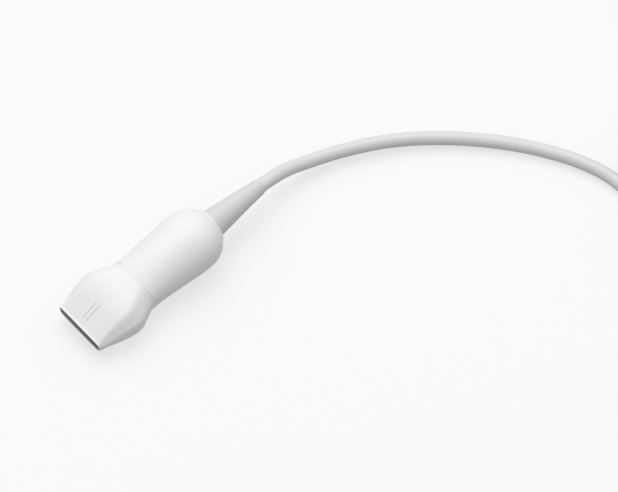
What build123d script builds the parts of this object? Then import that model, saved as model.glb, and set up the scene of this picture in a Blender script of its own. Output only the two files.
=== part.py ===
"""A small hand-held ultrasound probe, lying on its nose and handle, with its cable and plug.

The probe is built along its own axis: +X runs from the lens to the cable, +Y to its left, +Z up.
It is then laid down on the surface, nose slightly low, as it rests.
The part's frame has its origin under the middle of the probe, on that surface, with +Z up.
Lengths are in millimetres and angles in degrees.
"""

import math
import os

from build123d import *

# Outer form: distance from the lens face, half width, half height, squareness of the section
LENS_END = (0.0, 14.9, 2.8, 6.0)
NOSE_TIP = (4.0, 16.0, 4.4, 6.0)
NOSE_FRONT = (8.0, 17.0, 6.0, 6.0)
NOSE_MIDDLE = (16.0, 18.7, 8.9, 5.2)
NOSE_WIDEST = (21.0, 19.4, 10.0, 4.6)
SHOULDER = (25.0, 18.9, 10.4, 4.0)
SHOULDER_END = (29.0, 17.0, 10.3, 3.2)
WAIST = (34.0, 14.9, 10.4, 2.5)
GRIP_START = (40.0, 14.5, 11.3, 2.2)
GRIP_FRONT = (50.0, 15.1, 12.7, 2.1)
GRIP_MIDDLE = (60.0, 15.8, 13.6, 2.1)
GRIP_WIDEST = (68.0, 16.3, 14.1, 2.1)
GRIP_REAR = (74.0, 15.9, 13.8, 2.1)
HEEL_START = (79.0, 14.0, 12.5, 2.1)
HEEL = (82.5, 11.0, 10.1, 2.0)
HANDLE_END = (85.0, 8.0, 8.0, 2.0)
STATIONS = (
    LENS_END,
    NOSE_TIP,
    NOSE_FRONT,
    NOSE_MIDDLE,
    NOSE_WIDEST,
    SHOULDER,
    SHOULDER_END,
    WAIST,
    GRIP_START,
    GRIP_FRONT,
    GRIP_MIDDLE,
    GRIP_WIDEST,
    GRIP_REAR,
    HEEL_START,
    HEEL,
    HANDLE_END,
)
CORNER_ANGLES = (0.0, 15.0, 30.0, 45.0, 60.0, 75.0)
LEAST_HALF = 0.6
SECTION_GAP = 1.5
UPPER_STEPS = 12

# Shells
SEAM_X = 35.0
WALL = 1.8
REAR_WALL = 4.6
SPIGOT_LENGTH = 4.0
SPIGOT_WALL = 1.2
SPIGOT_FIT = 0.1
SPIGOT_ROOT = 1.5
SPIGOT_STEP = 0.15
SEAL_DEPTH = 0.6
SEAL_FIT = 0.1
SEAL_WIDTH = 1.4
SEAL_SETBACK = 1.2

# Lens and array
LENS_RIM = 0.45
LENS_PROUD = 0.4
LENS_DEPTH = 1.8
POCKET_FIT = 0.15
CARRIER_SIDE_GAP = 0.65
CARRIER_TOP_GAP = 0.05
CARRIER_CORNER = 1.2
CARRIER_WALL = 0.5
CARRIER_LENGTH = 11.0
OUTER_LAYER = 0.25
INNER_LAYER = 0.35
ELEMENT_DEPTH = 0.5
BACKING_DEPTH = 8.0
ARRAY_FIT = 0.05
FLEX_THICKNESS = 0.15
FLEX_WIDTH = 22.0

# Chassis and circuit boards
CHASSIS_THICKNESS = 2.0
CHASSIS_WIDTH = 19.0
CHASSIS_START = 44.5
CHASSIS_END = 63.0
ARM_INNER = 4.8
ARM_WIDTH = 3.4
EAR_LENGTH = 4.0
EAR_SPOTS = (50.0, 58.0)
EAR_FIT = 0.2
PAD_WIDTH = 2.6
PAD_HEIGHT = 2.2
PAD_FIT = 0.05
BOARD_GAP = 2.2
BOARD_THICKNESS = 1.2
BOARD_WIDTH = 18.4
BOARD_START = 38.5
BOARD_END = 64.0
POST_RADIUS = 1.7
POST_SPOTS = (47.0, 60.0)
POST_SIDE = 7.2
FLEX_CONNECTOR_LENGTH = 4.0
COAX_CONNECTOR_LENGTH = 4.0
COAX_CONNECTOR_HEIGHT = 2.0
BOARD_SCREW_RADIUS = 0.7
BOARD_SCREW_LENGTH = 3.0
BOARD_SCREW_HEAD = 1.4
BOARD_SCREW_HEAD_HEIGHT = 0.9
SCREW_FIT = 0.05

# Shield cans
SHIELD_START = 43.5
SHIELD_END = 74.0
SHIELD_GAP = 0.15
SHIELD_SHEET = 0.3
SHIELD_ANGLE = 22.0

# Cable end inside the handle
CABLE_DIAMETER = 7.0
JACKET_START = 67.5
CRIMP_LENGTH = 3.0
CRIMP_WALL = 0.9
JACKET_FIT = 0.05
CLAMP_START = 71.0
CLAMP_LENGTH = 5.0
CLAMP_HALF_WIDTH = 8.2
CLAMP_HEIGHT = 5.2
CLAMP_SCREW_RADIUS = 0.9
CLAMP_SCREW_HEAD = 1.6
CLAMP_SCREW_HEAD_HEIGHT = 1.1

# Strain relief
NECK_RADIUS = 5.6
NECK_FIT = 0.1
FLANGE_RADIUS = 7.4
FLANGE_LENGTH = 2.0
BOOT_LENGTH = 31.5
BOOT_TIP_RADIUS = 4.1
BOOT_STEP = 0.5
BOOT_SECTIONS = 6
BOOT_BEND = 16.3
BOOT_BEND_SIDE = 22.5
FIRST_RUN = 13.0
BOOT_TAPER = 1.15

# Cable route past the strain relief, in the part's frame
CABLE_POINTS = (
    (89.0, -0.6, 7.2),
    (108.0, -7.4, 5.9),
    (129.0, -18.6, 5.0),
    (149.0, -33.6, 4.3),
    (167.0, -51.2, 3.7),
    (182.0, -71.0, 3.5),
    (192.5, -92.0, 3.5),
    (197.25, -107.7, 3.5),
)
BEND_SHARE = 0.45

# Coil of the rest of the cable
COIL_CENTRE = (241.5, -129.5)
COIL_MEAN_RADIUS = 36.5
COIL_THICKNESS = 21.0
COIL_ROUNDING = 7.0

# Straight cable tail from the coil to the plug
TAIL_LENGTH = 11.4

# Plug, built along its own axis from the cable end to the contact end
PLUG_PLACE = (287.0, -96.0)
PLUG_WIDTH = 38.0
PLUG_HEIGHT = 18.0
PLUG_LENGTH = 46.0
PLUG_WALL = 2.0
PLUG_CORNER = 3.0
PLUG_BOOT_LENGTH = 20.0
PLUG_BOOT_RADIUS = 6.2
PLUG_BOOT_TIP = 4.4
PLUG_BOOT_NECK = 5.0
PLUG_BOOT_FLANGE = 6.6
PLUG_BOOT_FLANGE_LENGTH = 2.0
PLUG_FIT = 0.1
TONGUE_WIDTH = 29.0
TONGUE_THICKNESS = 5.0
TONGUE_REACH = 5.0
TONGUE_ROOT = 6.0
STRIP_COUNT = 12
STRIP_PITCH = 2.1
STRIP_WIDTH = 1.1
STRIP_THICKNESS = 0.2
STRIP_MARGIN = 0.5
PLUG_BOARD_THICKNESS = 1.6
PLUG_CLAMP_LENGTH = 4.0
PLUG_CLAMP_WIDTH = 14.0
PLUG_LEAD_STUB = 1.5
PLUG_BOSS_RADIUS = 2.6
PLUG_BOSS_INSET = 5.4
PLUG_BOSS_SETBACK = 9.0
PLUG_BOSS_REAR = 6.0
PLUG_SCREW_RADIUS = 1.1
PLUG_SCREW_HEAD = 1.9
PLUG_SCREW_HEAD_HEIGHT = 1.4
PLUG_SCREW_RECESS = 0.4
PLUG_SCREW_BITE = 5.0

CABLE_RADIUS = CABLE_DIAMETER / 2
HANDLE_LENGTH = HANDLE_END[0]
FAR = 200.0


def profile(x):
    """Half width, half height and squareness at a distance from the lens, smooth between the stations."""
    places = [station[0] for station in STATIONS]
    index = max(1, min(len(places) - 1, sum(place < x for place in places)))
    low, high = places[index - 1], places[index]
    share = (x - low) / (high - low)
    values = []
    for column in (1, 2, 3):
        column_values = [station[column] for station in STATIONS]
        first = slope(places, column_values, index - 1) * (high - low)
        second = slope(places, column_values, index) * (high - low)
        start, end = column_values[index - 1], column_values[index]
        values.append(
            start * (1 + 2 * share) * (1 - share) ** 2
            + first * share * (1 - share) ** 2
            + end * share**2 * (3 - 2 * share)
            + second * share**2 * (share - 1)
        )
    return values


def slope(places, values, index):
    """A slope at a station that makes no bump between it and the next one."""
    if index in (0, len(places) - 1):
        near = 1 if index == 0 else index
        return (values[near] - values[near - 1]) / (places[near] - places[near - 1])
    before = (values[index] - values[index - 1]) / (places[index] - places[index - 1])
    after = (values[index + 1] - values[index]) / (places[index + 1] - places[index])
    return 2 * before * after / (before + after) if before * after > 0 else 0.0


def arc_points(x, inset, angles):
    """Points at the given angles round the section at x, drawn in by an inset."""
    half_width, half_height, squareness = profile(x)
    half_width = max(half_width - inset, LEAST_HALF)
    half_height = max(half_height - inset, LEAST_HALF)
    power = 2 / squareness
    points = []
    for degrees in angles:
        angle = math.radians(degrees)
        across = math.copysign(abs(math.cos(angle)) ** power, math.cos(angle))
        up = math.copysign(abs(math.sin(angle)) ** power, math.sin(angle))
        points.append((x, half_width * across, half_height * up))
    return points


def places_between(start, stop):
    """Where a form is given a section: at both ends and at stations, or the middle, between them."""
    between = [x for x, *_ in STATIONS if start + SECTION_GAP < x < stop - SECTION_GAP]
    if not between and stop - start > 2 * SECTION_GAP:
        between = [(start + stop) / 2]
    return [start, *between, stop]


def form(inset, start, stop):
    """The probe's outer form between two places, drawn in by an inset, as a solid."""
    angles = [90 * quarter + corner for quarter in range(4) for corner in CORNER_ANGLES]
    places = places_between(start, stop)
    return loft([Face(Wire(Spline(*arc_points(x, inset, angles), periodic=True))) for x in places])


def upper_wall(outer_inset, inner_inset, start, stop, edge_angle=0):
    """The upper half of a wall that follows the form, between two insets."""
    span = 180 - 2 * edge_angle
    angles = [edge_angle + span * index / UPPER_STEPS for index in range(UPPER_STEPS + 1)]
    sections = []
    for x in places_between(start, stop):
        outside = arc_points(x, outer_inset, angles)
        room = inner_inset(x) if callable(inner_inset) else inner_inset
        inside = arc_points(x, room, angles)[::-1]
        edges = [Spline(*outside), Line(outside[-1], inside[0]), Spline(*inside), Line(inside[-1], outside[0])]
        sections.append(Face(Wire(edges)))
    return loft(sections)


def upper_solid(start, stop):
    """The upper half of the whole form between two places."""
    angles = [180 * index / UPPER_STEPS for index in range(UPPER_STEPS + 1)]
    sections = []
    for x in places_between(start, stop):
        outside = arc_points(x, 0, angles)
        sections.append(Face(Wire([Spline(*outside), Line(outside[-1], outside[0])])))
    return loft(sections)


def block(start, stop, y_low, y_high, z_low, z_high):
    """A box given by its limits."""
    centre = Pos((start + stop) / 2, (y_low + y_high) / 2, (z_low + z_high) / 2)
    return centre * Box(stop - start, y_high - y_low, z_high - z_low)


def rod(start, stop, radius):
    """A round bar on the axis."""
    return Pos((start + stop) / 2, 0, 0) * Rot(0, 90, 0) * Cylinder(radius, stop - start)


def post(x, y, z_low, z_high, radius):
    """An upright round bar."""
    return Pos(x, y, (z_low + z_high) / 2) * Cylinder(radius, z_high - z_low)


def rounded_bar(start, stop, width, height, corner):
    """A bar along the axis with a rounded rectangular section."""
    outline = RectangleRounded(height, width, corner)
    return Pos(start, 0, 0) * Rot(0, 90, 0) * extrude(outline, stop - start)


def below(thing):
    """The same thing on the other side of the middle plane."""
    return mirror(thing, Plane.XY)


def both(things):
    """Upper things with their lower mates, as one group."""
    return Compound(children=[*things, *(below(thing) for thing in things)])


SPIGOT_INSET = WALL + SPIGOT_FIT
SPIGOT_INNER = SPIGOT_INSET + SPIGOT_WALL
SPIGOT_END = SEAM_X + SPIGOT_LENGTH
SEAL_START = SEAM_X + SEAL_SETBACK
SEAL_END = SEAL_START + SEAL_WIDTH
CARRIER_END = LENS_DEPTH + CARRIER_LENGTH
CARRIER_WIDTH = 2 * (LENS_END[1] - LENS_RIM - CARRIER_SIDE_GAP)
CARRIER_HEIGHT = 2 * (LENS_END[2] - LENS_RIM - CARRIER_TOP_GAP)
CAVITY_END = HANDLE_LENGTH - REAR_WALL

OUTER = form(0, 0, HANDLE_LENGTH)


def whole(upper):
    """An upper half with its mirror image, as one piece."""
    return upper + below(upper)


def nose_inset(x):
    """How thick the nose's wall is: thin at the lens, then full, and thickest before the spigot."""
    root = SEAM_X - SPIGOT_LENGTH
    if x <= NOSE_FRONT[0]:
        return LENS_RIM + (WALL - LENS_RIM) * max(x, 0.0) / NOSE_FRONT[0]
    share = max(0.0, (x - SHOULDER_END[0]) / (root - SHOULDER_END[0]))
    return WALL + min(share, 1.0) * (SPIGOT_INNER - WALL)


def seal_ring():
    """The gasket round the spigot."""
    return whole(upper_wall(WALL + SEAL_FIT, SPIGOT_INSET + SEAL_DEPTH - SEAL_FIT, SEAL_START, SEAL_END))


def nose_shell():
    """The nose's two bonded halves, with the lens opening and a grooved spigot that enters the handle."""
    groove = SPIGOT_INSET + SEAL_DEPTH
    root = SEAM_X - SPIGOT_ROOT
    shell = upper_wall(0, nose_inset, 0, SEAM_X)
    shell += upper_wall(groove, SPIGOT_INNER - SPIGOT_STEP, root, SPIGOT_END)
    shell += upper_wall(SPIGOT_INSET, groove + SPIGOT_STEP, root, SEAL_START)
    shell += upper_wall(SPIGOT_INSET, groove + SPIGOT_STEP, SEAL_END, SPIGOT_END - SPIGOT_STEP)
    return both([shell])


def acoustic_lens():
    """The rubber lens that fills the front opening and stands a little proud."""
    angles = [90 * quarter + corner for quarter in range(4) for corner in CORNER_ANGLES]
    sections = []
    for x in (-LENS_PROUD, LENS_DEPTH):
        edge = Spline(*arc_points(x, nose_inset(x) + POCKET_FIT, angles), periodic=True)
        sections.append(Face(Wire(edge)))
    return loft(sections)


def array_carrier():
    """The aluminium frame behind the lens that holds the stack."""
    outer = rounded_bar(LENS_DEPTH, CARRIER_END, CARRIER_WIDTH, CARRIER_HEIGHT, CARRIER_CORNER)
    width = STACK_WIDTH + 2 * ARRAY_FIT
    height = STACK_HEIGHT + 2 * ARRAY_FIT
    return outer - block(LENS_DEPTH, CARRIER_END, -width / 2, width / 2, -height / 2, height / 2)


STACK_WIDTH = CARRIER_WIDTH - 2 * CARRIER_WALL - 2 * ARRAY_FIT
STACK_HEIGHT = CARRIER_HEIGHT - 2 * CARRIER_WALL - 2 * ARRAY_FIT
BACKING_HEIGHT = STACK_HEIGHT - 2 * FLEX_THICKNESS
OUTER_LAYER_END = LENS_DEPTH + OUTER_LAYER
INNER_LAYER_END = OUTER_LAYER_END + INNER_LAYER
ELEMENTS_END = INNER_LAYER_END + ELEMENT_DEPTH
BACKING_END = ELEMENTS_END + BACKING_DEPTH


def layer(start, stop, height):
    """One flat layer of the array stack."""
    return block(start, stop, -STACK_WIDTH / 2, STACK_WIDTH / 2, -height / 2, height / 2)


FLEX_LOW = BACKING_HEIGHT / 2
FLEX_HIGH = FLEX_LOW + FLEX_THICKNESS
FLEX_END = BOARD_START + FLEX_CONNECTOR_LENGTH
BOARD_LOW = CHASSIS_THICKNESS / 2 + BOARD_GAP
BOARD_HIGH = BOARD_LOW + BOARD_THICKNESS


def flex_circuit():
    """The upper ribbon from the elements to the upper board."""
    return block(ELEMENTS_END, FLEX_END, -FLEX_WIDTH / 2, FLEX_WIDTH / 2, FLEX_LOW, FLEX_HIGH)


def board_spots():
    """Where the screws hold a board to the chassis posts."""
    return [(x, side * POST_SIDE) for x in POST_SPOTS for side in (-1, 1)]


def circuit_board():
    """The upper board, with its screw holes."""
    board = block(BOARD_START, BOARD_END, -BOARD_WIDTH / 2, BOARD_WIDTH / 2, BOARD_LOW, BOARD_HIGH)
    for x, y in board_spots():
        board -= post(x, y, BOARD_LOW, BOARD_HIGH, BOARD_SCREW_RADIUS + SCREW_FIT)
    return board


def flex_connectors():
    """The sockets under the boards' front edges, which take the ribbons."""
    half = BOARD_WIDTH / 2
    return both([block(BOARD_START, FLEX_END, -half, half, FLEX_HIGH, BOARD_LOW)])


def coax_connectors():
    """The sockets on the boards' rear edges, where the cable's cores end."""
    half = BOARD_WIDTH / 2 - POST_RADIUS
    top = BOARD_HIGH + COAX_CONNECTOR_HEIGHT
    return both([block(COAX_START, BOARD_END, -half, half, BOARD_HIGH, top)])


COAX_START = max(POST_SPOTS[1] + BOARD_SCREW_HEAD + SCREW_FIT, BOARD_END - COAX_CONNECTOR_LENGTH)


def board_screws():
    """All the small screws that hold the two boards."""
    tip = BOARD_HIGH - BOARD_SCREW_LENGTH
    top = BOARD_HIGH + BOARD_SCREW_HEAD_HEIGHT
    upper = []
    for x, y in board_spots():
        shank = post(x, y, tip, BOARD_HIGH, BOARD_SCREW_RADIUS)
        upper.append(shank + post(x, y, BOARD_HIGH, top, BOARD_SCREW_HEAD))
    return both(upper)


def ear_blocks(side, inner, outer, z_low, z_high):
    """Boxes at the chassis ears on one side, between two distances off the axis."""
    half = EAR_LENGTH / 2
    near, far = sorted((side * inner, side * outer))
    return [block(x - half, x + half, near, far, z_low, z_high) for x in EAR_SPOTS]


def board_chassis():
    """The aluminium plate between the boards, with posts, side ears and arms to the cable clamp."""
    half = CHASSIS_THICKNESS / 2
    plate = block(CHASSIS_START, CHASSIS_END, -CHASSIS_WIDTH / 2, CHASSIS_WIDTH / 2, -half, half)
    for side in (-1, 1):
        for ear in ear_blocks(side, CHASSIS_WIDTH / 2 - EAR_LENGTH, EAR_REACH, -half, half):
            plate += ear
        near, far = sorted((side * ARM_INNER, side * (ARM_INNER + ARM_WIDTH)))
        arm = block(CHASSIS_END - ARM_WIDTH, CLAMP_START + CLAMP_LENGTH, near, far, -half, half)
        plate += arm - post(CLAMP_MIDDLE, side * ARM_MIDDLE, -half, half, CLAMP_SCREW_RADIUS + SCREW_FIT)
    for x, y in board_spots():
        plate += post(x, y, -BOARD_LOW, BOARD_LOW, POST_RADIUS)
        hole = post(x, y, BOARD_HIGH - BOARD_SCREW_LENGTH, BOARD_LOW, BOARD_SCREW_RADIUS + SCREW_FIT)
        plate -= hole
        plate -= below(hole)
    return plate


CLAMP_MIDDLE = CLAMP_START + CLAMP_LENGTH / 2
ARM_MIDDLE = ARM_INNER + ARM_WIDTH / 2


def cable_clamp():
    """The upper half of the clamp that grips the cable on the chassis arms."""
    low = CHASSIS_THICKNESS / 2
    end = CLAMP_START + CLAMP_LENGTH
    half = block(CLAMP_START, end, -CLAMP_HALF_WIDTH, CLAMP_HALF_WIDTH, low, CLAMP_HEIGHT)
    half -= rod(CLAMP_START, end, CABLE_RADIUS + JACKET_FIT)
    for side in (-1, 1):
        half -= post(CLAMP_MIDDLE, side * ARM_MIDDLE, low, CLAMP_HEIGHT, CLAMP_SCREW_RADIUS + SCREW_FIT)
    return half


def clamp_screws():
    """The two screws through both halves of the clamp and the arms between them."""
    screws = []
    for side in (-1, 1):
        y = side * ARM_MIDDLE
        shank = post(CLAMP_MIDDLE, y, -CLAMP_HEIGHT, CLAMP_HEIGHT, CLAMP_SCREW_RADIUS)
        top = CLAMP_HEIGHT + CLAMP_SCREW_HEAD_HEIGHT
        screws.append(shank + post(CLAMP_MIDDLE, y, CLAMP_HEIGHT, top, CLAMP_SCREW_HEAD))
    return Compound(children=screws)


def handle_half():
    """The upper handle shell, with the pads that pinch the chassis ears."""
    shell = upper_wall(0, WALL, SEAM_X, CAVITY_END, 0)
    heel = upper_solid(CAVITY_END, HANDLE_LENGTH)
    shell += heel - rod(CAVITY_END - NECK_FIT, HANDLE_LENGTH + NECK_FIT, NECK_RADIUS + NECK_FIT)
    pad_low = CHASSIS_THICKNESS / 2 + PAD_FIT
    for side in (-1, 1):
        for pad in ear_blocks(side, EAR_REACH - PAD_WIDTH, EAR_REACH + WALL / 2, pad_low, pad_low + PAD_HEIGHT):
            shell += pad
    return shell


EAR_REACH = GRIP_FRONT[1] - WALL - EAR_FIT


def shield_can():
    """The upper half of the metal screen inside the handle, clear of the chassis ears."""
    return upper_wall(WALL + SHIELD_GAP, WALL + SHIELD_GAP + SHIELD_SHEET, SHIELD_START, SHIELD_END, SHIELD_ANGLE)


def coax_fan():
    """The cable's cores, spreading from the jacket to the two boards' sockets."""
    half = BOARD_WIDTH / 2 - POST_RADIUS
    gap = (FLEX_HIGH - FLEX_LOW) / 2
    jacket = Plane((JACKET_START, 0, CABLE_RADIUS / 2), x_dir=(0, 1, 0), z_dir=(-1, 0, 0))
    socket_height = BOARD_HIGH + COAX_CONNECTOR_HEIGHT / 2
    socket = Plane((BOARD_END, 0, socket_height), x_dir=(0, 1, 0), z_dir=(-1, 0, 0))
    start = jacket * Rectangle(CABLE_RADIUS, CABLE_RADIUS / 2 + gap)
    end = socket * Rectangle(2 * half, COAX_CONNECTOR_HEIGHT / 2)
    return both([loft([start, end])])


def braid_crimp():
    """The brass sleeve crimped on the end of the cable's jacket."""
    end = JACKET_START + CRIMP_LENGTH
    sleeve = rod(JACKET_START, end, CABLE_RADIUS + CRIMP_WALL)
    return sleeve - rod(JACKET_START, end, CABLE_RADIUS + JACKET_FIT)


BOOT_ARC_RADIUS = BOOT_LENGTH / math.radians(BOOT_BEND)


def boot_place(share):
    """The place across the boot at a share of its length, which bends down and a little to the left."""
    angle = BOOT_BEND * share
    x = HANDLE_LENGTH + BOOT_ARC_RADIUS * math.sin(math.radians(angle))
    z = -BOOT_ARC_RADIUS * (1 - math.cos(math.radians(angle)))
    return Rot(BOOT_BEND_SIDE, 0, 0) * Pos(x, 0, z) * Rot(0, 90 + angle, 0)


def lead_tube(start, radius):
    """A round bar along the axis and on along the boot's arc to its tip."""
    arc = ThreePointArc((HANDLE_LENGTH, 0, 0), boot_place(0.5).position, boot_place(1).position)
    return rod(start, HANDLE_LENGTH, radius) + sweep(boot_place(0) * Circle(radius), path=arc)


def strain_relief():
    """The soft boot: a flange caught inside the handle, a neck through its end and a tapering tail."""
    base = HANDLE_END[1] - BOOT_STEP
    circles = []
    for index in range(BOOT_SECTIONS):
        share = index / (BOOT_SECTIONS - 1)
        radius = BOOT_TIP_RADIUS + (base - BOOT_TIP_RADIUS) * (1 - share) ** BOOT_TAPER
        circles.append(boot_place(share) * Circle(radius))
    flange_end = CAVITY_END - NECK_FIT
    boot = loft(circles)
    boot += rod(flange_end - FLANGE_LENGTH, HANDLE_LENGTH, NECK_RADIUS)
    boot += rod(flange_end - FLANGE_LENGTH, flange_end, FLANGE_RADIUS)
    return boot - lead_tube(flange_end - FLANGE_LENGTH, CABLE_RADIUS + JACKET_FIT)


def resting_place():
    """How the probe lies: on its shoulder and the widest part of its handle, over the origin."""
    tilt = math.degrees(math.atan2(GRIP_WIDEST[2] - SHOULDER[2], GRIP_WIDEST[0] - SHOULDER[0]))
    turn = Rot(0, -tilt, 0)
    box = (turn * OUTER).bounding_box()
    tip = (turn * boot_place(1)).position
    front = box.min.X - LENS_PROUD
    return Pos(-(front + tip.X) / 2, 0, -box.min.Z) * turn


REST = resting_place()


def tube(points):
    """A cord's tube: straight runs joined by arcs as large as the runs allow."""
    points = [Vector(point) for point in points]
    radii = []
    for before, here, after in zip(points, points[1:], points[2:]):
        turn = math.radians((here - before).get_angle(after - here))
        run = min((here - before).length, (after - here).length)
        radii.append(BEND_SHARE * run / math.tan(turn / 2))
    path = FilletPolyline(*points, radius=radii)
    start = Plane(origin=points[0], z_dir=points[1] - points[0])
    solid = sweep(start * Circle(CABLE_RADIUS), path=path)
    print("radii", [round(radius) for radius in radii], "length", round(path.length, 1))
    print("volume", round(solid.volume), "section by length", round(math.pi * CABLE_RADIUS**2 * path.length))
    return solid


def cable_coil():
    """The outer shape of the coiled length, as one solid ring."""
    across = RectangleRounded(COIL_THICKNESS, COIL_THICKNESS, COIL_ROUNDING)
    ring = revolve(Plane.XZ * Pos(COIL_MEAN_RADIUS, COIL_THICKNESS / 2) * across, Axis.Z)
    return Pos(*COIL_CENTRE, 0) * ring


def cable():
    """The free stretch from the strain relief to the coil."""
    tip = REST * boot_place(1)
    ahead = tip * Pos(0, 0, FIRST_RUN)
    return tube([tip.position, ahead.position, *CABLE_POINTS])


def cable_tail():
    """The short stretch from the coil to the plug."""
    return rod(-TAIL_LENGTH, 0, CABLE_RADIUS)


CASE_START = PLUG_BOOT_LENGTH
CASE_END = CASE_START + PLUG_LENGTH
PLUG_FLANGE_START = CASE_START + PLUG_WALL + PLUG_FIT
PLUG_FLANGE_END = PLUG_FLANGE_START + PLUG_BOOT_FLANGE_LENGTH
PLUG_CLAMP_START = PLUG_FLANGE_END + PLUG_FIT
PLUG_CLAMP_END = PLUG_CLAMP_START + PLUG_CLAMP_LENGTH
PLUG_LEAD_END = PLUG_CLAMP_END + PLUG_LEAD_STUB
TONGUE_START = CASE_END - TONGUE_ROOT
BOSS_SIDE = PLUG_WIDTH / 2 - PLUG_BOSS_INSET
BOSS_SPOTS = [
    (x, side * BOSS_SIDE)
    for x in (CASE_START + PLUG_BOSS_REAR, CASE_END - PLUG_BOSS_SETBACK)
    for side in (-1, 1)
]
SCREW_HEAD_TOP = PLUG_HEIGHT / 2 - PLUG_SCREW_RECESS - PLUG_SCREW_HEAD_HEIGHT


def plug_case(z_side):
    """One half of the plug's case: 1 for the upper half, -1 for the lower one."""
    middle = Pos((CASE_START + CASE_END) / 2, 0, 0)
    case = middle * Box(PLUG_LENGTH, PLUG_WIDTH, PLUG_HEIGHT)
    case = fillet(case.edges(), PLUG_CORNER)
    hollow_height = PLUG_HEIGHT - 2 * PLUG_WALL
    case -= middle * Box(PLUG_LENGTH - 2 * PLUG_WALL, PLUG_WIDTH - 2 * PLUG_WALL, hollow_height)
    for x, y in BOSS_SPOTS:
        case += post(x, y, -hollow_height / 2, hollow_height / 2, PLUG_BOSS_RADIUS)
    for x, y in BOSS_SPOTS:
        case -= post(x, y, -PLUG_HEIGHT, PLUG_SCREW_BITE + PLUG_FIT, PLUG_SCREW_RADIUS + SCREW_FIT)
        case -= post(x, y, -PLUG_HEIGHT, -SCREW_HEAD_TOP, PLUG_SCREW_HEAD + PLUG_FIT)
    case -= rod(CASE_START - PLUG_WALL, PLUG_FLANGE_START, PLUG_BOOT_NECK + PLUG_FIT)
    side = TONGUE_WIDTH / 2 + PLUG_FIT
    rise = TONGUE_THICKNESS / 2 + PLUG_FIT
    case -= block(TONGUE_START, CASE_END + PLUG_WALL, -side, side, -rise, rise)
    low, high = sorted((0, z_side * PLUG_HEIGHT))
    return case & block(0, FAR, -FAR / 2, FAR / 2, low, high)


def plug_boot():
    """The plug's own bend guard, with a neck and flange caught in the case."""
    cone = Pos(CASE_START / 2, 0, 0) * Rot(0, 90, 0) * Cone(PLUG_BOOT_TIP, PLUG_BOOT_RADIUS, CASE_START)
    boot = cone + rod(CASE_START, PLUG_FLANGE_END, PLUG_BOOT_NECK)
    boot += rod(PLUG_FLANGE_START, PLUG_FLANGE_END, PLUG_BOOT_FLANGE)
    return boot - rod(0, PLUG_FLANGE_END, CABLE_RADIUS + JACKET_FIT)


def plug_clamp():
    """The block that both case halves press on the cable."""
    half = PLUG_HEIGHT / 2 - PLUG_WALL
    width = PLUG_CLAMP_WIDTH / 2
    clamp = block(PLUG_CLAMP_START, PLUG_CLAMP_END, -width, width, -half, half)
    return clamp - rod(PLUG_CLAMP_START, PLUG_CLAMP_END, CABLE_RADIUS + JACKET_FIT)


def contact_strips():
    """The row of contact strips let into the tongue's upper face."""
    high = TONGUE_THICKNESS / 2
    strips = []
    for index in range(STRIP_COUNT):
        middle = (index - (STRIP_COUNT - 1) / 2) * STRIP_PITCH
        low_y = middle - STRIP_WIDTH / 2
        high_y = middle + STRIP_WIDTH / 2
        end = CASE_END + TONGUE_REACH - STRIP_MARGIN
        strips.append(block(TONGUE_START, end, low_y, high_y, high - STRIP_THICKNESS, high))
    return Compound(children=strips)


def contact_tongue():
    """The moulded tongue that carries the contacts."""
    half_width = TONGUE_WIDTH / 2
    half = TONGUE_THICKNESS / 2
    tongue = block(TONGUE_START, CASE_END + TONGUE_REACH, -half_width, half_width, -half, half)
    return tongue - contact_strips()


def plug_board():
    """The plug's circuit board, between the cable's end and the tongue."""
    half_width = BOSS_SIDE - PLUG_BOSS_RADIUS - PLUG_FIT
    half = PLUG_BOARD_THICKNESS / 2
    return block(PLUG_LEAD_END, TONGUE_START, -half_width, half_width, -half, half)


def plug_screws():
    """The four screws that close the case from below."""
    screws = []
    head_end = -PLUG_HEIGHT / 2 + PLUG_SCREW_RECESS
    for x, y in BOSS_SPOTS:
        shank = post(x, y, -SCREW_HEAD_TOP, PLUG_SCREW_BITE, PLUG_SCREW_RADIUS)
        screws.append(shank + post(x, y, head_end, -SCREW_HEAD_TOP, PLUG_SCREW_HEAD))
    return Compound(children=screws)


def probe_nodes():
    """Everything that is built along the probe's own axis."""
    handle = handle_half()
    board = circuit_board()
    flex = flex_circuit()
    can = shield_can()
    clamp = cable_clamp()
    return {
        "nose_shell": nose_shell(),
        "nose_seal": seal_ring(),
        "acoustic_lens": acoustic_lens(),
        "matching_layer_outer": layer(LENS_DEPTH, OUTER_LAYER_END, STACK_HEIGHT),
        "matching_layer_inner": layer(OUTER_LAYER_END, INNER_LAYER_END, STACK_HEIGHT),
        "element_array": layer(INNER_LAYER_END, ELEMENTS_END, STACK_HEIGHT),
        "backing_block": layer(ELEMENTS_END, BACKING_END, BACKING_HEIGHT),
        "array_carrier": array_carrier(),
        "flex_circuit_upper": flex,
        "flex_circuit_lower": below(flex),
        "handle_upper": handle,
        "handle_lower": below(handle),
        "board_chassis": board_chassis(),
        "circuit_board_upper": board,
        "circuit_board_lower": below(board),
        "flex_connectors": flex_connectors(),
        "coax_connectors": coax_connectors(),
        "board_screws": board_screws(),
        "shield_can_upper": can,
        "shield_can_lower": below(can),
        "coax_fan": coax_fan(),
        "braid_crimp": braid_crimp(),
        "cable_clamp_upper": clamp,
        "cable_clamp_lower": below(clamp),
        "clamp_screws": clamp_screws(),
        "strain_relief": strain_relief(),
        "cable_lead": lead_tube(JACKET_START, CABLE_RADIUS),
    }


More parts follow.
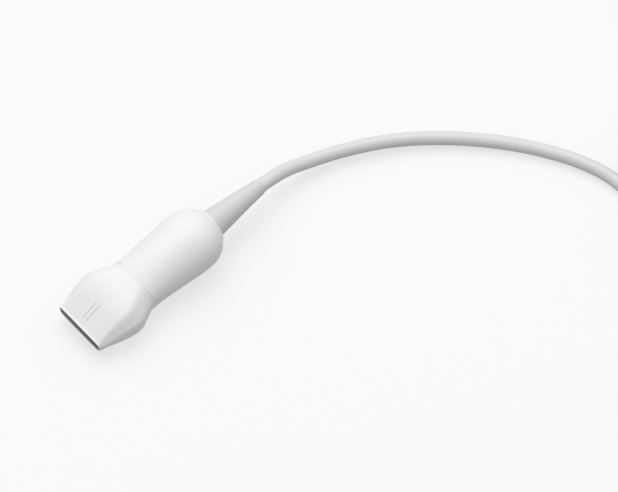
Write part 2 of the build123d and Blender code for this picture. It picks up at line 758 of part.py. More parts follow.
def plug_nodes():
    """Everything that is built along the plug's own axis."""
    return {
        "plug_case_upper": plug_case(1),
        "plug_case_lower": plug_case(-1),
        "plug_boot": plug_boot(),
        "plug_lead": rod(0, PLUG_LEAD_END, CABLE_RADIUS),
        "plug_clamp": plug_clamp(),
        "plug_board": plug_board(),
        "contact_tongue": contact_tongue(),
        "contact_strips": contact_strips(),
        "plug_screws": plug_screws(),
        "cable_tail": cable_tail(),
    }


def cord_nodes():
    """The cable outside the probe and its coil, where they lie."""
    return {"cable": cable(), "cable_coil": cable_coil()}


def main():
    """Write one file for each piece."""
    os.makedirs("parts", exist_ok=True)
    plug_place = Pos(*PLUG_PLACE, PLUG_HEIGHT / 2) * Rot(0, 0, 90)
    nodes = {name: REST * solid for name, solid in probe_nodes().items()}
    nodes.update({name: plug_place * solid for name, solid in plug_nodes().items()})
    nodes.update(cord_nodes())
    for name, solid in nodes.items():
        export_step(solid, f"parts/{name}.step")


main()
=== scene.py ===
"""Looks for a small hand-held ultrasound probe that lies on its nose and handle, with cable and plug.

The forms repeat the values of the part's source. Lengths are in millimetres until laid() or metres()
turns them into metres in the part's frame.
"""

import math

import bmesh
import bpy
from mathutils import Matrix, Vector


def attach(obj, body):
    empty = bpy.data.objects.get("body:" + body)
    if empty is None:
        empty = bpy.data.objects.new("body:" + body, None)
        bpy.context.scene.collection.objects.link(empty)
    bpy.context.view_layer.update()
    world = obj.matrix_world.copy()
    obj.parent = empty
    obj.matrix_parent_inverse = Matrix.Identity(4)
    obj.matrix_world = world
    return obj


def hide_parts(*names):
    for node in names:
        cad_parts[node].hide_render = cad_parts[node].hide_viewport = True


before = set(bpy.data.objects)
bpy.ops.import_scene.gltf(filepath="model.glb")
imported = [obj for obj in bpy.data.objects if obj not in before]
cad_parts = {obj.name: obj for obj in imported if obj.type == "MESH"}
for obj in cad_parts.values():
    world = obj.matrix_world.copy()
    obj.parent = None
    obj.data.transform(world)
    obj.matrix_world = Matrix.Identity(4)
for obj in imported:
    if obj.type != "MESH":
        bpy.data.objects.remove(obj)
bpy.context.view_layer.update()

MM = 0.001

# Outer form: distance from the lens face, half width, half height, squareness of the section
STATIONS = (
    (0.0, 14.9, 2.8, 6.0),
    (4.0, 16.0, 4.4, 6.0),
    (8.0, 17.0, 6.0, 6.0),
    (16.0, 18.7, 8.9, 5.2),
    (21.0, 19.4, 10.0, 4.6),
    (25.0, 18.9, 10.4, 4.0),
    (29.0, 17.0, 10.3, 3.2),
    (34.0, 14.9, 10.4, 2.5),
    (40.0, 14.5, 11.3, 2.2),
    (50.0, 15.1, 12.7, 2.1),
    (60.0, 15.8, 13.6, 2.1),
    (68.0, 16.3, 14.1, 2.1),
    (74.0, 15.9, 13.8, 2.1),
    (79.0, 14.0, 12.5, 2.1),
    (82.5, 11.0, 10.1, 2.0),
    (85.0, 8.0, 8.0, 2.0),
)

# Soft facets along the nose's corners: distance from the lens face, depth, and rounding of the edges
FACET_PLACES = (0.0, 4.0, 8.0, 16.0, 21.0, 25.0, 29.0, 34.0, 36.0)
FACET_DEPTHS = (0.0, 0.8, 1.3, 1.6, 1.8, 1.8, 1.3, 0.3, 0.0)
FACET_SOFT = 0.4
FACET_SOFTER = 0.04

# Where the nose meets the handle, the handle's end, and how the probe lies
SEAM_X = 35.0
HANDLE_LENGTH = 85.0
# The two stations that touch the floor, and where the lens face's middle then is
REST_FRONT, REST_REAR = STATIONS[5], STATIONS[11]
REST_TILT = math.atan2(REST_REAR[2] - REST_FRONT[2], REST_REAR[0] - REST_FRONT[0])
REST_X = -57.6806
REST_Z = 8.4189

# Nose details
LIP_LENGTH = 1.5
LIP_HALF_HEIGHT = 3.3
LIP_BLEND = 0.7
RIM = 0.5
RIM_ROUND = 0.3
LENS_DOME = 0.55
LENS_ROOT = 1.6
LENS_FIT = 0.02
LENS_SET_BACK = 0.15
LENS_LAST_ANGLE = 84
LENS_CLOSING = 0.98
NOSE_POINTS = 40
NOSE_RINGS = 100
MARK_LINES = (2.05, -0.45)
MARK_START = 4.1
MARK_END = 13.6
MARK_HALF_WIDTH = 0.22
MARK_HEIGHT = 0.09
MARK_SUNK = 0.01
MARK_ROOT = 0.3
MARK_FADE = 0.4
MARK_LEAST = 0.05
MARK_RINGS = 40

# Handle details: seams, and the last rings' distance from the lens face and inset
SEAM_ROUND = 0.06
SEAM_DEPTH = 0.3
SIDE_SEAM = 0.06
HANDLE_POINTS = 36
HANDLE_RINGS = 130
HANDLE_ROUND_FROM = 84.6
HANDLE_END_RINGS = ((84.85, 0.02), (84.97, 0.14), (85.0, 0.35), (85.0, 1.6))

# Strain relief
BOOT_LENGTH = 31.5
BOOT_BASE_RADIUS = 7.5
BOOT_TIP_RADIUS = 4.1
BOOT_BEND = 16.3
BOOT_BEND_SIDE = 22.5
BOOT_TAPER = 1.15
BOOT_TIP_ROUND = 0.5
BOOT_ROUND_FROM = 0.985
BOOT_HIDDEN = -0.03
BOOT_BORE_END = 0.8
BOOT_BORE_FIT = 0.06
BOOT_RINGS = 60
BOOT_POINTS = 48

# Cable
CABLE_DIAMETER = 7.0
CABLE_RADIUS = CABLE_DIAMETER / 2
CORD_HIDDEN = 7.5
FIRST_RUN = 13.0
CABLE_POINTS = (
    (89.3, -0.2, 7.2),
    (108.6, -6.8, 5.9),
    (129.9, -17.6, 5.0),
    (149.8, -32.7, 4.3),
    (167.7, -50.4, 3.7),
    (182.7, -70.2, 3.5),
    (193.4, -90.8, 3.5),
    (197.6, -109.0, 3.5),
)
COIL_CENTRE = (241.5, -129.5)
COIL_OUTER, COIL_MIDDLE, COIL_INNER = 43.5, 36.5, 29.5
COIL_LOW, COIL_HALFWAY, COIL_HIGH = 3.5, 10.5, 17.5
COIL_STEP = 20
COIL_START = 180
COIL_END = 2800
# Each change: the turn angles between which it happens, and the place in the section that it ends at
COIL_CHANGES = (
    (480, 540, COIL_MIDDLE, COIL_LOW),
    (840, 900, COIL_INNER, COIL_LOW),
    (1140, 1200, COIL_INNER, COIL_HALFWAY),
    (1500, 1560, COIL_INNER, COIL_HIGH),
    (1800, 1860, COIL_MIDDLE, COIL_HIGH),
    (2100, 2160, COIL_MIDDLE, COIL_HALFWAY),
    (2400, 2460, COIL_OUTER, COIL_HALFWAY),
    (2700, 2760, COIL_OUTER, COIL_HIGH),
)
TAIL_POINTS = (
    (266.0, -168.5, 16.6),
    (283.5, -159.0, 14.2),
    (291.8, -144.0, 12.0),
    (293.2, -128.5, 10.4),
    (290.2, -113.5, 9.3),
    (287.0, -104.0, 9.0),
    (287.0, -92.0, 9.0),
)

# Straps round the coil: names and angles, and their own sizes
TIES = (("front", 60), ("back", 215))
TIE_WIDTH = 12.0
TIE_THICKNESS = 1.0
TIE_CORNER = 5.0
TIE_EDGE = 0.35
TIE_GAP = 0.1
TIE_FLOOR_GAP = 0.05

# Camera: its right and up directions, the picture's scale, and the distance in metres
PICTURE = (618, 492)
PIXELS_PER_MM = 2.06
LENS_PIXEL = (79.5, 329.3)
CAMERA_RIGHT = Vector((0.7604, -0.6494, 0.0))
CAMERA_UP = Vector((0.5624, 0.6585, 0.5))
CAMERA_DISTANCE = 9.0
SENSOR = 36.0

# Light and floor: levels, the lamp's place and size in metres, and the floor's own colour
BACKGROUND = 0.955
FLOOR_COLOUR = 0.32
FLOOR_GLOW = 0.655
SKY_LEVEL = 0.53
KEY_LEVEL = 0.62
KEY_DIRECTION = Vector((0.2, 0.42, 0.88)).normalized()
KEY_DISTANCE = 3.0
KEY_SIZE = 3.2
FLOOR_HALF = 6.0

# Grain and wear of moulded pieces: scale of the patches, and the part of their range that is used
PATCH_SCALE = 55.0
PATCH_LOW, PATCH_HIGH = 0.35, 0.65


def slope(places, values, index):
    """A slope at a station that makes no bump between it and the next one."""
    if index in (0, len(places) - 1):
        near = 1 if index == 0 else index
        return (values[near] - values[near - 1]) / (places[near] - places[near - 1])
    before = (values[index] - values[index - 1]) / (places[index] - places[index - 1])
    after = (values[index + 1] - values[index]) / (places[index + 1] - places[index])
    return 2 * before * after / (before + after) if before * after > 0 else 0.0


def between(places, values, x):
    """A value at x on the smooth line through values at places."""
    index = max(1, min(len(places) - 1, sum(place < x for place in places)))
    low, high = places[index - 1], places[index]
    share = (x - low) / (high - low)
    first = slope(places, values, index - 1) * (high - low)
    second = slope(places, values, index) * (high - low)
    return (
        values[index - 1] * (1 + 2 * share) * (1 - share) ** 2
        + first * share * (1 - share) ** 2
        + values[index] * share**2 * (3 - 2 * share)
        + second * share**2 * (share - 1)
    )


def profile(x):
    """Half width, half height and squareness at a distance from the lens."""
    places, *columns = zip(*STATIONS)
    return [between(places, values, x) for values in columns]


def smooth_step(value, low, high):
    """0 below low, 1 above high, and a smooth rise between them."""
    share = min(1.0, max(0.0, (value - low) / (high - low)))
    return share * share * (3 - 2 * share)


def lipped(x):
    """The profile, with the level lip along the front edge."""
    half_width, half_height, squareness = profile(x)
    share = smooth_step(x, LIP_LENGTH - LIP_BLEND, LIP_LENGTH + LIP_BLEND)
    lip = max(half_height, LIP_HALF_HEIGHT)
    return half_width, lip * (1 - share) + half_height * share, squareness


def laid(x, y, z):
    """A point of the probe's own axes, in metres, where the probe lies."""
    cosine, sine = math.cos(REST_TILT), math.sin(REST_TILT)
    return Vector((REST_X + x * cosine - z * sine, y, REST_Z + x * sine + z * cosine)) * MM


def metres(point):
    """A point of the part's frame in metres."""
    return Vector(point) * MM


def quarter(half_width, half_height, squareness, count, lead=None):
    """Points evenly along a quarter of the section, from its side to its top."""
    power = 2 / squareness
    fine = []
    for step in range(361):
        angle = math.radians(step / 4)
        fine.append((half_width * math.cos(angle) ** power, half_height * math.sin(angle) ** power))
    fine[-1] = (0.0, half_height)
    travelled = [0.0]
    for before, after in zip(fine, fine[1:]):
        travelled.append(travelled[-1] + math.dist(before, after))
    wanted = [travelled[-1] * index / count for index in range(count + 1)]
    if lead is not None:
        wanted.insert(1, lead)
    points = []
    index = 0
    for distance in wanted:
        while index < len(travelled) - 2 and travelled[index + 1] < distance:
            index += 1
        step = travelled[index + 1] - travelled[index]
        share = (distance - travelled[index]) / step if step else 0.0
        (y0, z0), (y1, z1) = fine[index], fine[index + 1]
        points.append((y0 + (y1 - y0) * share, z0 + (z1 - z0) * share))
    return points


def section(values, inset, count, lead=None):
    """A whole section's points, anticlockwise, from a profile drawn in by an inset."""
    half_width, half_height, squareness = values
    corner = quarter(half_width - inset, half_height - inset, squareness, count, lead)
    left = [(-y, z) for y, z in corner[::-1]][1:]
    lower = [(-y, -z) for y, z in corner][1:]
    right = [(y, -z) for y, z in corner[::-1]][1:-1]
    return corner + left + lower + right


def faceted(points, values, inset, x):
    """A section's points, with the nose's soft facet across each corner."""
    depth = between(FACET_PLACES, FACET_DEPTHS, min(x, FACET_PLACES[-1]))
    if depth <= 0:
        return points
    half_width, half_height, squareness = values
    power = squareness / (squareness - 1)
    lean = math.sqrt(0.5)
    reach = ((half_width * lean) ** power + (half_height * lean) ** power) ** (1 / power) - inset - depth
    soft = FACET_SOFT + FACET_SOFTER * x
    cut = []
    for y, z in points:
        over = (abs(y) + abs(z)) * lean - reach
        move = over if over > soft else max(0.0, over + soft) ** 2 / (4 * soft)
        cut.append((y - math.copysign(move * lean, y), z - math.copysign(move * lean, z)))
    return cut


def grid_mesh(name, rings, close_start=False, close_end=False):
    """A smooth mesh over rings of points that have the same number of points each."""
    mesh = bmesh.new()
    rows = [[mesh.verts.new(point) for point in ring] for ring in rings]
    count = len(rows[0])
    for before, after in zip(rows, rows[1:]):
        for index in range(count):
            following = (index + 1) % count
            mesh.faces.new((before[index], before[following], after[following], after[index]))
    for row, wanted in ((rows[0], close_start), (rows[-1], close_end)):
        if wanted:
            middle = mesh.verts.new(sum((vertex.co for vertex in row), Vector()) / count)
            for index in range(count):
                mesh.faces.new((row[index], row[(index + 1) % count], middle))
    bmesh.ops.recalc_face_normals(mesh, faces=mesh.faces)
    for face in mesh.faces:
        face.smooth = True
    data = bpy.data.meshes.new(name)
    mesh.to_mesh(data)
    mesh.free()
    piece = bpy.data.objects.new(name, data)
    bpy.context.scene.collection.objects.link(piece)
    return piece


def finish_piece(piece, material, slot, *nodes):
    """Give a piece its material and body, and hide the nodes that it stands for; the slot is not used."""
    piece.data.materials.append(material)
    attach(piece, "root")
    if nodes:
        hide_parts(*nodes)
    return piece


def span(start, stop, count):
    """Even steps from start to stop, both included."""
    return [start + (stop - start) * index / count for index in range(count + 1)]


def form_ring(x, inset, count, values=profile, lead=None, seam=0.0):
    """One laid ring of the outer form, with its side points drawn in for a seam."""
    points = faceted(section(values(x), inset, count, lead), values(x), inset, x)
    if seam:
        half = len(points) // 2
        for index in (0, half):
            y, z = points[index]
            points[index] = (y - math.copysign(seam, y), z)
    return [laid(x, y, z) for y, z in points]


def nose_piece():
    """The nose's outside, with a level lip, a rounded rim, the lens pocket and the rear edge."""
    count = NOSE_POINTS
    rings = [form_ring(LENS_ROOT, RIM, count, lipped)]
    for angle in span(90, 0, 5):
        turn = math.radians(angle)
        place = RIM_ROUND * (1 - math.sin(turn))
        depth = RIM_ROUND * (1 - math.cos(turn))
        rings.append(form_ring(place, depth, count, lipped))
    for x in span(RIM_ROUND, SEAM_X - SEAM_ROUND, NOSE_RINGS)[1:]:
        rings.append(form_ring(x, 0, count, lipped))
    rings.append(form_ring(SEAM_X - SEAM_ROUND / 3, SEAM_ROUND / 2, count))
    rings.append(form_ring(SEAM_X - SEAM_ROUND / 3, SEAM_DEPTH, count))
    return grid_mesh("nose", rings)


def lens_piece():
    """The dark lens strip that fills the front opening and bulges a little."""
    inset = RIM + LENS_FIT
    front = lipped(0)
    rings = [form_ring(LENS_ROOT, inset, NOSE_POINTS, lipped)]
    for angle in span(0, LENS_LAST_ANGLE, 14):
        turn = math.radians(angle)
        shrink = (1 - math.cos(turn)) * (front[1] - RIM)
        x = LENS_SET_BACK - (LENS_SET_BACK + LENS_DOME) * math.sin(turn)
        points = section(front, inset + shrink * LENS_CLOSING, NOSE_POINTS)
        rings.append([laid(x, y, z) for y, z in points])
    return grid_mesh("lens", rings, close_end=True)


def handle_piece():
    """The handle's outside, with its side seams and its rounded ends."""
    places = [(SEAM_X + SEAM_ROUND / 3, SEAM_DEPTH), (SEAM_X + SEAM_ROUND / 3, SEAM_ROUND / 2)]
    places += [(x, 0) for x in span(SEAM_X + SEAM_ROUND, HANDLE_ROUND_FROM, HANDLE_RINGS)]
    rings = [form_ring(x, inset, HANDLE_POINTS, profile, SIDE_SEAM, SIDE_SEAM) for x, inset in places]
    for x, inset in HANDLE_END_RINGS:
        rings.append(form_ring(x, inset, HANDLE_POINTS, profile, SIDE_SEAM, SIDE_SEAM / 2))
    return grid_mesh("handle", rings)


def boot_frame(share):
    """Middle, side and up directions across the boot at a share of its length."""
    angle = math.radians(BOOT_BEND * share)
    lean = math.radians(BOOT_BEND_SIDE)
    radius = BOOT_LENGTH / math.radians(BOOT_BEND)
    drop = -radius * (1 - math.cos(angle))
    ahead = HANDLE_LENGTH + radius * math.sin(angle)
    middle = Vector((ahead, -drop * math.sin(lean), drop * math.cos(lean)))
    side = Vector((0, math.cos(lean), math.sin(lean)))
    up = Vector((math.sin(angle), -math.cos(angle) * math.sin(lean), math.cos(angle) * math.cos(lean)))
    return middle, side, up


def boot_ring(share, radius):
    """One laid ring of the boot."""
    middle, side, up = boot_frame(share)
    ring = []
    for index in range(BOOT_POINTS):
        angle = 2 * math.pi * index / BOOT_POINTS
        point = middle + side * (radius * math.cos(angle)) + up * (radius * math.sin(angle))
        ring.append(laid(*point))
    return ring


def boot_piece():
    """The soft tapering strain relief, with a rounded tip and the bore that the cable leaves."""
    rings = []
    for share in span(BOOT_HIDDEN, BOOT_ROUND_FROM, BOOT_RINGS):
        inner = max(share, 0.0)
        radius = BOOT_TIP_RADIUS + (BOOT_BASE_RADIUS - BOOT_TIP_RADIUS) * (1 - inner) ** BOOT_TAPER
        rings.append(boot_ring(share, radius))
    for angle in span(0, 90, 5)[1:]:
        turn = math.radians(angle)
        share = BOOT_ROUND_FROM + (1 - BOOT_ROUND_FROM) * math.sin(turn)
        rings.append(boot_ring(share, BOOT_TIP_RADIUS - BOOT_TIP_ROUND * (1 - math.cos(turn))))
    for share in (BOOT_ROUND_FROM, BOOT_BORE_END):
        rings.append(boot_ring(share, CABLE_RADIUS + BOOT_BORE_FIT))
    return grid_mesh("strain_relief_boot", rings)


def mark_piece(name, y):
    """One fine raised line on the nose's top, along the axis."""
    arch = []
    for angle in span(180, 0, 8):
        turn = math.radians(angle)
        arch.append((MARK_HALF_WIDTH * math.cos(turn), MARK_HEIGHT * math.sin(turn)))
    rings = []
    for x in span(MARK_START, MARK_END, MARK_RINGS):
        half_width, half_height, squareness = profile(x)
        near_start, near_end = (x - MARK_START) / MARK_FADE, (MARK_END - x) / MARK_FADE
        fade = min(1.0, near_start + MARK_LEAST, near_end + MARK_LEAST)
        ring, root = [], []
        for across, rise in arch:
            side = y + across * fade
            top = half_height * (1 - abs(side / half_width) ** squareness) ** (1 / squareness)
            ring.append(laid(x, side, top + rise * fade - MARK_SUNK))
            root.append(laid(x, side, top - MARK_ROOT))
        rings.append(ring + root[::-1])
    return grid_mesh(name, rings, close_start=True, close_end=True)


def boot_tip():
    """The boot's tip and the direction that the cable leaves it in."""
    middle, side, up = boot_frame(1)
    tip = laid(*middle)
    along = side.cross(up)
    ahead = laid(*(middle + along)) - tip
    if ahead.x < 0:
        ahead = -ahead
    return tip, ahead.normalized()


def coil_place(angle):
    """Radius and height of the coil's line at an angle, with a smooth rise at each change."""
    radius, height = COIL_OUTER, COIL_LOW
    for start, stop, next_radius, next_height in COIL_CHANGES:
        share = smooth_step(angle, start, stop)
        radius += (next_radius - radius) * share
        height += (next_height - height) * share
    return radius, height


def cord_route():
    """The cord's points from inside the strain relief to inside the plug, in metres."""
    tip, ahead = boot_tip()
    points = [tip - ahead * CORD_HIDDEN * MM, tip + ahead * FIRST_RUN * MM]
    points += [metres(point) for point in CABLE_POINTS]
    stretch = 1 / math.cos(math.radians(COIL_STEP / 2))
    for angle in range(COIL_START, COIL_END + 1, COIL_STEP):
        radius, height = coil_place(angle)
        turn = math.radians(angle)
        x = COIL_CENTRE[0] + radius * stretch * math.cos(turn)
        y = COIL_CENTRE[1] + radius * stretch * math.sin(turn)
        points.append(metres((x, y, height)))
    route = list(points)
    for index in range(2, 2 + len(CABLE_POINTS)):
        bend = points[index - 1] - 2 * points[index] + points[index + 1]
        route[index] = points[index] - bend / 8
    return route + [metres(point) for point in TAIL_POINTS]


def cord_piece():
    """The cable from the strain relief to the plug, as one smooth spline."""
    curve = bpy.data.curves.new("cable_cord", "CURVE")
    curve.dimensions = "3D"
    spline = curve.splines.new("NURBS")
    route = cord_route()
    spline.points.add(len(route) - 1)
    for point, place in zip(spline.points, route):
        point.co = (*place, 1.0)
    spline.order_u = 3
    spline.use_endpoint_u = True
    spline.resolution_u = 8
    curve.bevel_depth = CABLE_RADIUS * MM
    curve.bevel_resolution = 6
    curve.use_fill_caps = True
    piece = bpy.data.objects.new("cable_cord", curve)
    bpy.context.scene.collection.objects.link(piece)
    return piece


def tie_piece(name, degrees):
    """A narrow strap round the coil's section."""
    low, high = COIL_LOW - CABLE_RADIUS, COIL_HIGH + CABLE_RADIUS
    inner, outer = COIL_INNER - CABLE_RADIUS, COIL_OUTER + CABLE_RADIUS
    outline = []
    corners = (
        (outer - TIE_CORNER, high - TIE_CORNER, 0),
        (inner + TIE_CORNER, high - TIE_CORNER, 90),
        (inner + TIE_CORNER, low + TIE_CORNER, 180),
        (outer - TIE_CORNER, low + TIE_CORNER, 270),
    )
    for radius, height, start in corners:
        for angle in span(start, start + 90, 8):
            turn = math.radians(angle)
            outline.append((radius, height, math.cos(turn), math.sin(turn)))
    half, flat = TIE_WIDTH / 2, TIE_WIDTH / 2 - TIE_EDGE
    layers = [(-half, TIE_GAP), (-half, TIE_THICKNESS - TIE_EDGE)]
    layers += [(across, TIE_THICKNESS) for across in span(-flat, flat, 8)]
    layers += [(half, TIE_THICKNESS - TIE_EDGE), (half, TIE_GAP)]
    turn = math.radians(degrees)
    rings = []
    for across, depth in layers:
        ring = []
        for radius, height, outward, upward in outline:
            far = radius + (TIE_CORNER + depth) * outward
            rise = max(TIE_FLOOR_GAP, height + (TIE_CORNER + depth) * upward)
            x = COIL_CENTRE[0] + far * math.cos(turn) - across * math.sin(turn)
            y = COIL_CENTRE[1] + far * math.sin(turn) + across * math.cos(turn)
            ring.append(metres((x, y, rise)))
        rings.append(ring)
    return grid_mesh(name, rings)


def node_tree(name):
    """A new material with its shader node and tools to add and join others."""
    material = bpy.data.materials.new(name)
    material.use_nodes = True
    nodes, links = material.node_tree.nodes, material.node_tree.links
    return material, nodes, links, nodes["Principled BSDF"]


def moulded(name, colour, roughness, grain, depth, mottle=0.02, worn=0.05, specular=0.5, coat=0.0):
    """Moulded plastic or rubber: fine grain, uneven gloss, faint patches of tone and handling marks."""
    material, nodes, links, shader = node_tree(name)
    place = nodes.new("ShaderNodeTexCoord")
    fine = nodes.new("ShaderNodeTexNoise")
    fine.inputs["Scale"].default_value = 1 / (grain * MM)
    fine.inputs["Detail"].default_value = 2.0
    bump = nodes.new("ShaderNodeBump")
    bump.inputs["Strength"].default_value = 1.0
    bump.inputs["Distance"].default_value = depth * MM
    links.new(place.outputs["Object"], fine.inputs["Vector"])
    links.new(fine.outputs["Fac"], bump.inputs["Height"])
    links.new(bump.outputs["Normal"], shader.inputs["Normal"])
    patches = nodes.new("ShaderNodeTexNoise")
    patches.inputs["Scale"].default_value = PATCH_SCALE
    patches.inputs["Detail"].default_value = 5.0
    links.new(place.outputs["Object"], patches.inputs["Vector"])
    gloss = nodes.new("ShaderNodeMapRange")
    gloss.inputs["From Min"].default_value = PATCH_LOW
    gloss.inputs["From Max"].default_value = PATCH_HIGH
    gloss.inputs["To Min"].default_value = max(0.05, roughness - worn)
    gloss.inputs["To Max"].default_value = min(1.0, roughness + worn)
    links.new(patches.outputs["Fac"], gloss.inputs["Value"])
    links.new(gloss.outputs["Result"], shader.inputs["Roughness"])
    tone = nodes.new("ShaderNodeMix")
    tone.data_type = "RGBA"
    tone.inputs[6].default_value = (*[value * (1 - mottle) for value in colour], 1.0)
    tone.inputs[7].default_value = (*[min(1.0, value * (1 + mottle)) for value in colour], 1.0)
    links.new(patches.outputs["Fac"], tone.inputs[0])
    links.new(tone.outputs[2], shader.inputs["Base Color"])
    shader.inputs["Specular IOR Level"].default_value = specular
    shader.inputs["Coat Weight"].default_value = coat
    return material


def woven(name, colour):
    """Strap cloth: crossed threads with a fuzzy, uneven surface."""
    material, nodes, links, shader = node_tree(name)
    place = nodes.new("ShaderNodeTexCoord")
    threads = []
    for direction in ("X", "Y"):
        wave = nodes.new("ShaderNodeTexWave")
        wave.bands_direction = direction
        wave.inputs["Scale"].default_value = 700.0
        wave.inputs["Distortion"].default_value = 1.5
        links.new(place.outputs["Object"], wave.inputs["Vector"])
        threads.append(wave)
    weave = nodes.new("ShaderNodeMath")
    weave.operation = "ADD"
    links.new(threads[0].outputs["Fac"], weave.inputs[0])
    links.new(threads[1].outputs["Fac"], weave.inputs[1])
    bump = nodes.new("ShaderNodeBump")
    bump.inputs["Distance"].default_value = 0.12 * MM
    links.new(weave.outputs["Value"], bump.inputs["Height"])
    links.new(bump.outputs["Normal"], shader.inputs["Normal"])
    tone = nodes.new("ShaderNodeMix")
    tone.data_type = "RGBA"
    tone.inputs[6].default_value = (*[value * 0.75 for value in colour], 1.0)
    tone.inputs[7].default_value = (*colour, 1.0)
    links.new(threads[0].outputs["Fac"], tone.inputs[0])
    links.new(tone.outputs[2], shader.inputs["Base Color"])
    shader.inputs["Roughness"].default_value = 0.85
    shader.inputs["Sheen Weight"].default_value = 0.3
    return material


def metal(name, colour, roughness, scratch):
    """Metal with fine brushed scratches and uneven gloss."""
    material, nodes, links, shader = node_tree(name)
    place = nodes.new("ShaderNodeTexCoord")
    stretch = nodes.new("ShaderNodeMapping")
    stretch.inputs["Scale"].default_value = (scratch, scratch * 12, scratch * 12)
    brush = nodes.new("ShaderNodeTexNoise")
    brush.inputs["Scale"].default_value = 60.0
    brush.inputs["Detail"].default_value = 4.0
    links.new(place.outputs["Object"], stretch.inputs["Vector"])
    links.new(stretch.outputs["Vector"], brush.inputs["Vector"])
    gloss = nodes.new("ShaderNodeMapRange")
    gloss.inputs["To Min"].default_value = roughness * 0.6
    gloss.inputs["To Max"].default_value = roughness * 1.4
    links.new(brush.outputs["Fac"], gloss.inputs["Value"])
    links.new(gloss.outputs["Result"], shader.inputs["Roughness"])
    bump = nodes.new("ShaderNodeBump")
    bump.inputs["Distance"].default_value = 0.01 * MM
    links.new(brush.outputs["Fac"], bump.inputs["Height"])
    links.new(bump.outputs["Normal"], shader.inputs["Normal"])
    shader.inputs["Base Color"].default_value = (*colour, 1.0)
    shader.inputs["Metallic"].default_value = 1.0
    return material


def dress(material, *nodes):
    """Give CAD nodes a better material."""
    for node in nodes:
        piece = bpy.data.objects[node]
        if not piece.data.materials:
            piece.data.materials.append(material)
        for slot in piece.material_slots:
            slot.link = "OBJECT"
            slot.material = material


def camera():
    """The camera at the photograph's angle, aimed by where the lens face is in the picture."""
    right, up = CAMERA_RIGHT.normalized(), CAMERA_UP.normalized()
    back = right.cross(up)
    across = (PICTURE[0] / 2 - LENS_PIXEL[0]) / PIXELS_PER_MM * MM
    rise = (LENS_PIXEL[1] - PICTURE[1] / 2) / PIXELS_PER_MM * MM
    aim = laid(0, 0, 0) + right * across + up * rise
    data = bpy.data.cameras.new("camera")
    data.sensor_width = SENSOR
    data.lens = PIXELS_PER_MM / MM * CAMERA_DISTANCE * SENSOR / PICTURE[0]
    data.clip_start = 0.01
    data.clip_end = 50.0
    seen = bpy.data.objects.new("camera", data)
    turned = Matrix((right, up, back)).transposed().to_4x4()
    seen.matrix_world = Matrix.Translation(aim + back * CAMERA_DISTANCE) @ turned
    bpy.context.scene.collection.objects.link(seen)
    bpy.context.scene.camera = seen


def seen_directly(nodes, links):
    """1 for rays from the camera, off gloss or through clear parts, and 0 for the light on the object."""
    path = nodes.new("ShaderNodeLightPath")
    total = path.outputs["Is Camera Ray"]
    for kind in ("Is Glossy Ray", "Is Transmission Ray"):
        larger = nodes.new("ShaderNodeMath")
        larger.operation = "MAXIMUM"
        links.new(total, larger.inputs[0])
        links.new(path.outputs[kind], larger.inputs[1])
        total = larger.outputs["Value"]
    return total


def floor():
    """A pale floor that keeps shadows and looks almost white to the camera."""
    mesh = bmesh.new()
    corners = ((-1, -1), (1, -1), (1, 1), (-1, 1))
    mesh.faces.new([mesh.verts.new((x * FLOOR_HALF, y * FLOOR_HALF, 0)) for x, y in corners])
    data = bpy.data.meshes.new("floor")
    mesh.to_mesh(data)
    mesh.free()
    piece = bpy.data.objects.new("floor", data)
    bpy.context.scene.collection.objects.link(piece)
    material, nodes, links, shader = node_tree("floor_paper")
    shader.inputs["Base Color"].default_value = (FLOOR_COLOUR, FLOOR_COLOUR, FLOOR_COLOUR, 1.0)
    shader.inputs["Roughness"].default_value = 1.0
    shader.inputs["Specular IOR Level"].default_value = 0.0
    glow = nodes.new("ShaderNodeEmission")
    glow.inputs["Color"].default_value = (1.0, 1.0, 1.0, 1.0)
    share = nodes.new("ShaderNodeMath")
    share.operation = "MULTIPLY"
    share.inputs[1].default_value = FLOOR_GLOW
    links.new(seen_directly(nodes, links), share.inputs[0])
    links.new(share.outputs["Value"], glow.inputs["Strength"])
    both = nodes.new("ShaderNodeAddShader")
    links.new(shader.outputs["BSDF"], both.inputs[0])
    links.new(glow.outputs["Emission"], both.inputs[1])
    links.new(both.outputs["Shader"], nodes["Material Output"].inputs["Surface"])
    data.materials.append(material)


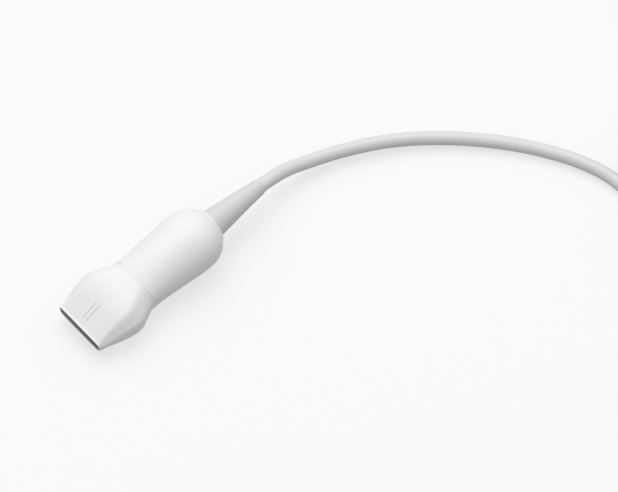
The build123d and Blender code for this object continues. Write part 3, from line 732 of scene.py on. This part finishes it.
def light():
    """A soft key light from behind and above, and an even pale surround."""
    lamp = bpy.data.lights.new("key", "AREA")
    lamp.shape = "DISK"
    lamp.size = KEY_SIZE
    lamp.energy = math.pi**2 * KEY_LEVEL * KEY_DISTANCE**2
    key = bpy.data.objects.new("key", lamp)
    key.location = KEY_DIRECTION * KEY_DISTANCE
    key.rotation_mode = "QUATERNION"
    key.rotation_quaternion = KEY_DIRECTION.to_track_quat("Z", "Y")
    bpy.context.scene.collection.objects.link(key)
    world = bpy.data.worlds.new("surround")
    world.use_nodes = True
    bpy.context.scene.world = world
    nodes, links = world.node_tree.nodes, world.node_tree.links
    around = nodes["Background"]
    around.inputs["Color"].default_value = (1.0, 1.0, 1.0, 1.0)
    around.inputs["Strength"].default_value = SKY_LEVEL
    seen = nodes.new("ShaderNodeBackground")
    seen.inputs["Color"].default_value = (BACKGROUND, BACKGROUND, BACKGROUND, 1.0)
    seen.inputs["Strength"].default_value = 1.0
    mix = nodes.new("ShaderNodeMixShader")
    links.new(seen_directly(nodes, links), mix.inputs["Fac"])
    links.new(around.outputs["Background"], mix.inputs[1])
    links.new(seen.outputs["Background"], mix.inputs[2])
    links.new(mix.outputs["Shader"], nodes["World Output"].inputs["Surface"])


bpy.context.scene.view_settings.view_transform = "Standard"
camera()
light()
floor()

shell_plastic = moulded("shell_plastic", (0.9, 0.9, 0.9), 0.42, 0.22, 0.004)
lens_rubber = moulded("lens_rubber", (0.035, 0.037, 0.04), 0.35, 0.5, 0.003, 0.06)
boot_rubber = moulded("boot_rubber", (0.71, 0.71, 0.71), 0.55, 0.3, 0.01, 0.03)
jacket = moulded("cable_jacket", (0.75, 0.75, 0.75), 0.45, 0.6, 0.008, 0.02)
# The raised lines' darker grey is painted shade: it stands in for the shade held in the engraved grooves
# along the nose's top.
mark_painted_shade = moulded("mark_painted_shade", (0.61, 0.61, 0.61), 0.45, 0.3, 0.003)
plug_plastic = moulded("plug_plastic", (0.78, 0.78, 0.77), 0.5, 0.25, 0.012)
black_plastic = moulded("black_plastic", (0.03, 0.03, 0.032), 0.45, 0.2, 0.006)
strap = woven("strap_cloth", (0.12, 0.12, 0.13))
gold = metal("contact_gold", (0.9, 0.68, 0.3), 0.25, 1.0)
steel = metal("screw_steel", (0.62, 0.62, 0.63), 0.3, 1.0)

finish_piece(nose_piece(), shell_plastic, "nose_plastic", "nose_shell")
finish_piece(handle_piece(), shell_plastic, "handle_plastic", "handle_upper", "handle_lower")
finish_piece(lens_piece(), lens_rubber, "lens_rubber", "acoustic_lens")
finish_piece(boot_piece(), boot_rubber, "boot_rubber", "strain_relief")
for label, side in zip(("left", "middle"), MARK_LINES):
    finish_piece(mark_piece(f"mark_line_{label}", side), mark_painted_shade, "nose_plastic")

cord = finish_piece(cord_piece(), jacket, "cable_jacket", "cable", "cable_coil", "cable_tail")
ties = [
    finish_piece(tie_piece(f"coil_tie_{label}", degrees), strap, "seal_rubber")
    for label, degrees in TIES
]

dress(jacket, "cable_lead", "plug_lead")
dress(boot_rubber, "plug_boot")
dress(plug_plastic, "plug_case_upper", "plug_case_lower")
dress(black_plastic, "contact_tongue", "plug_clamp", "nose_seal")
dress(gold, "contact_strips")
dress(steel, "plug_screws")
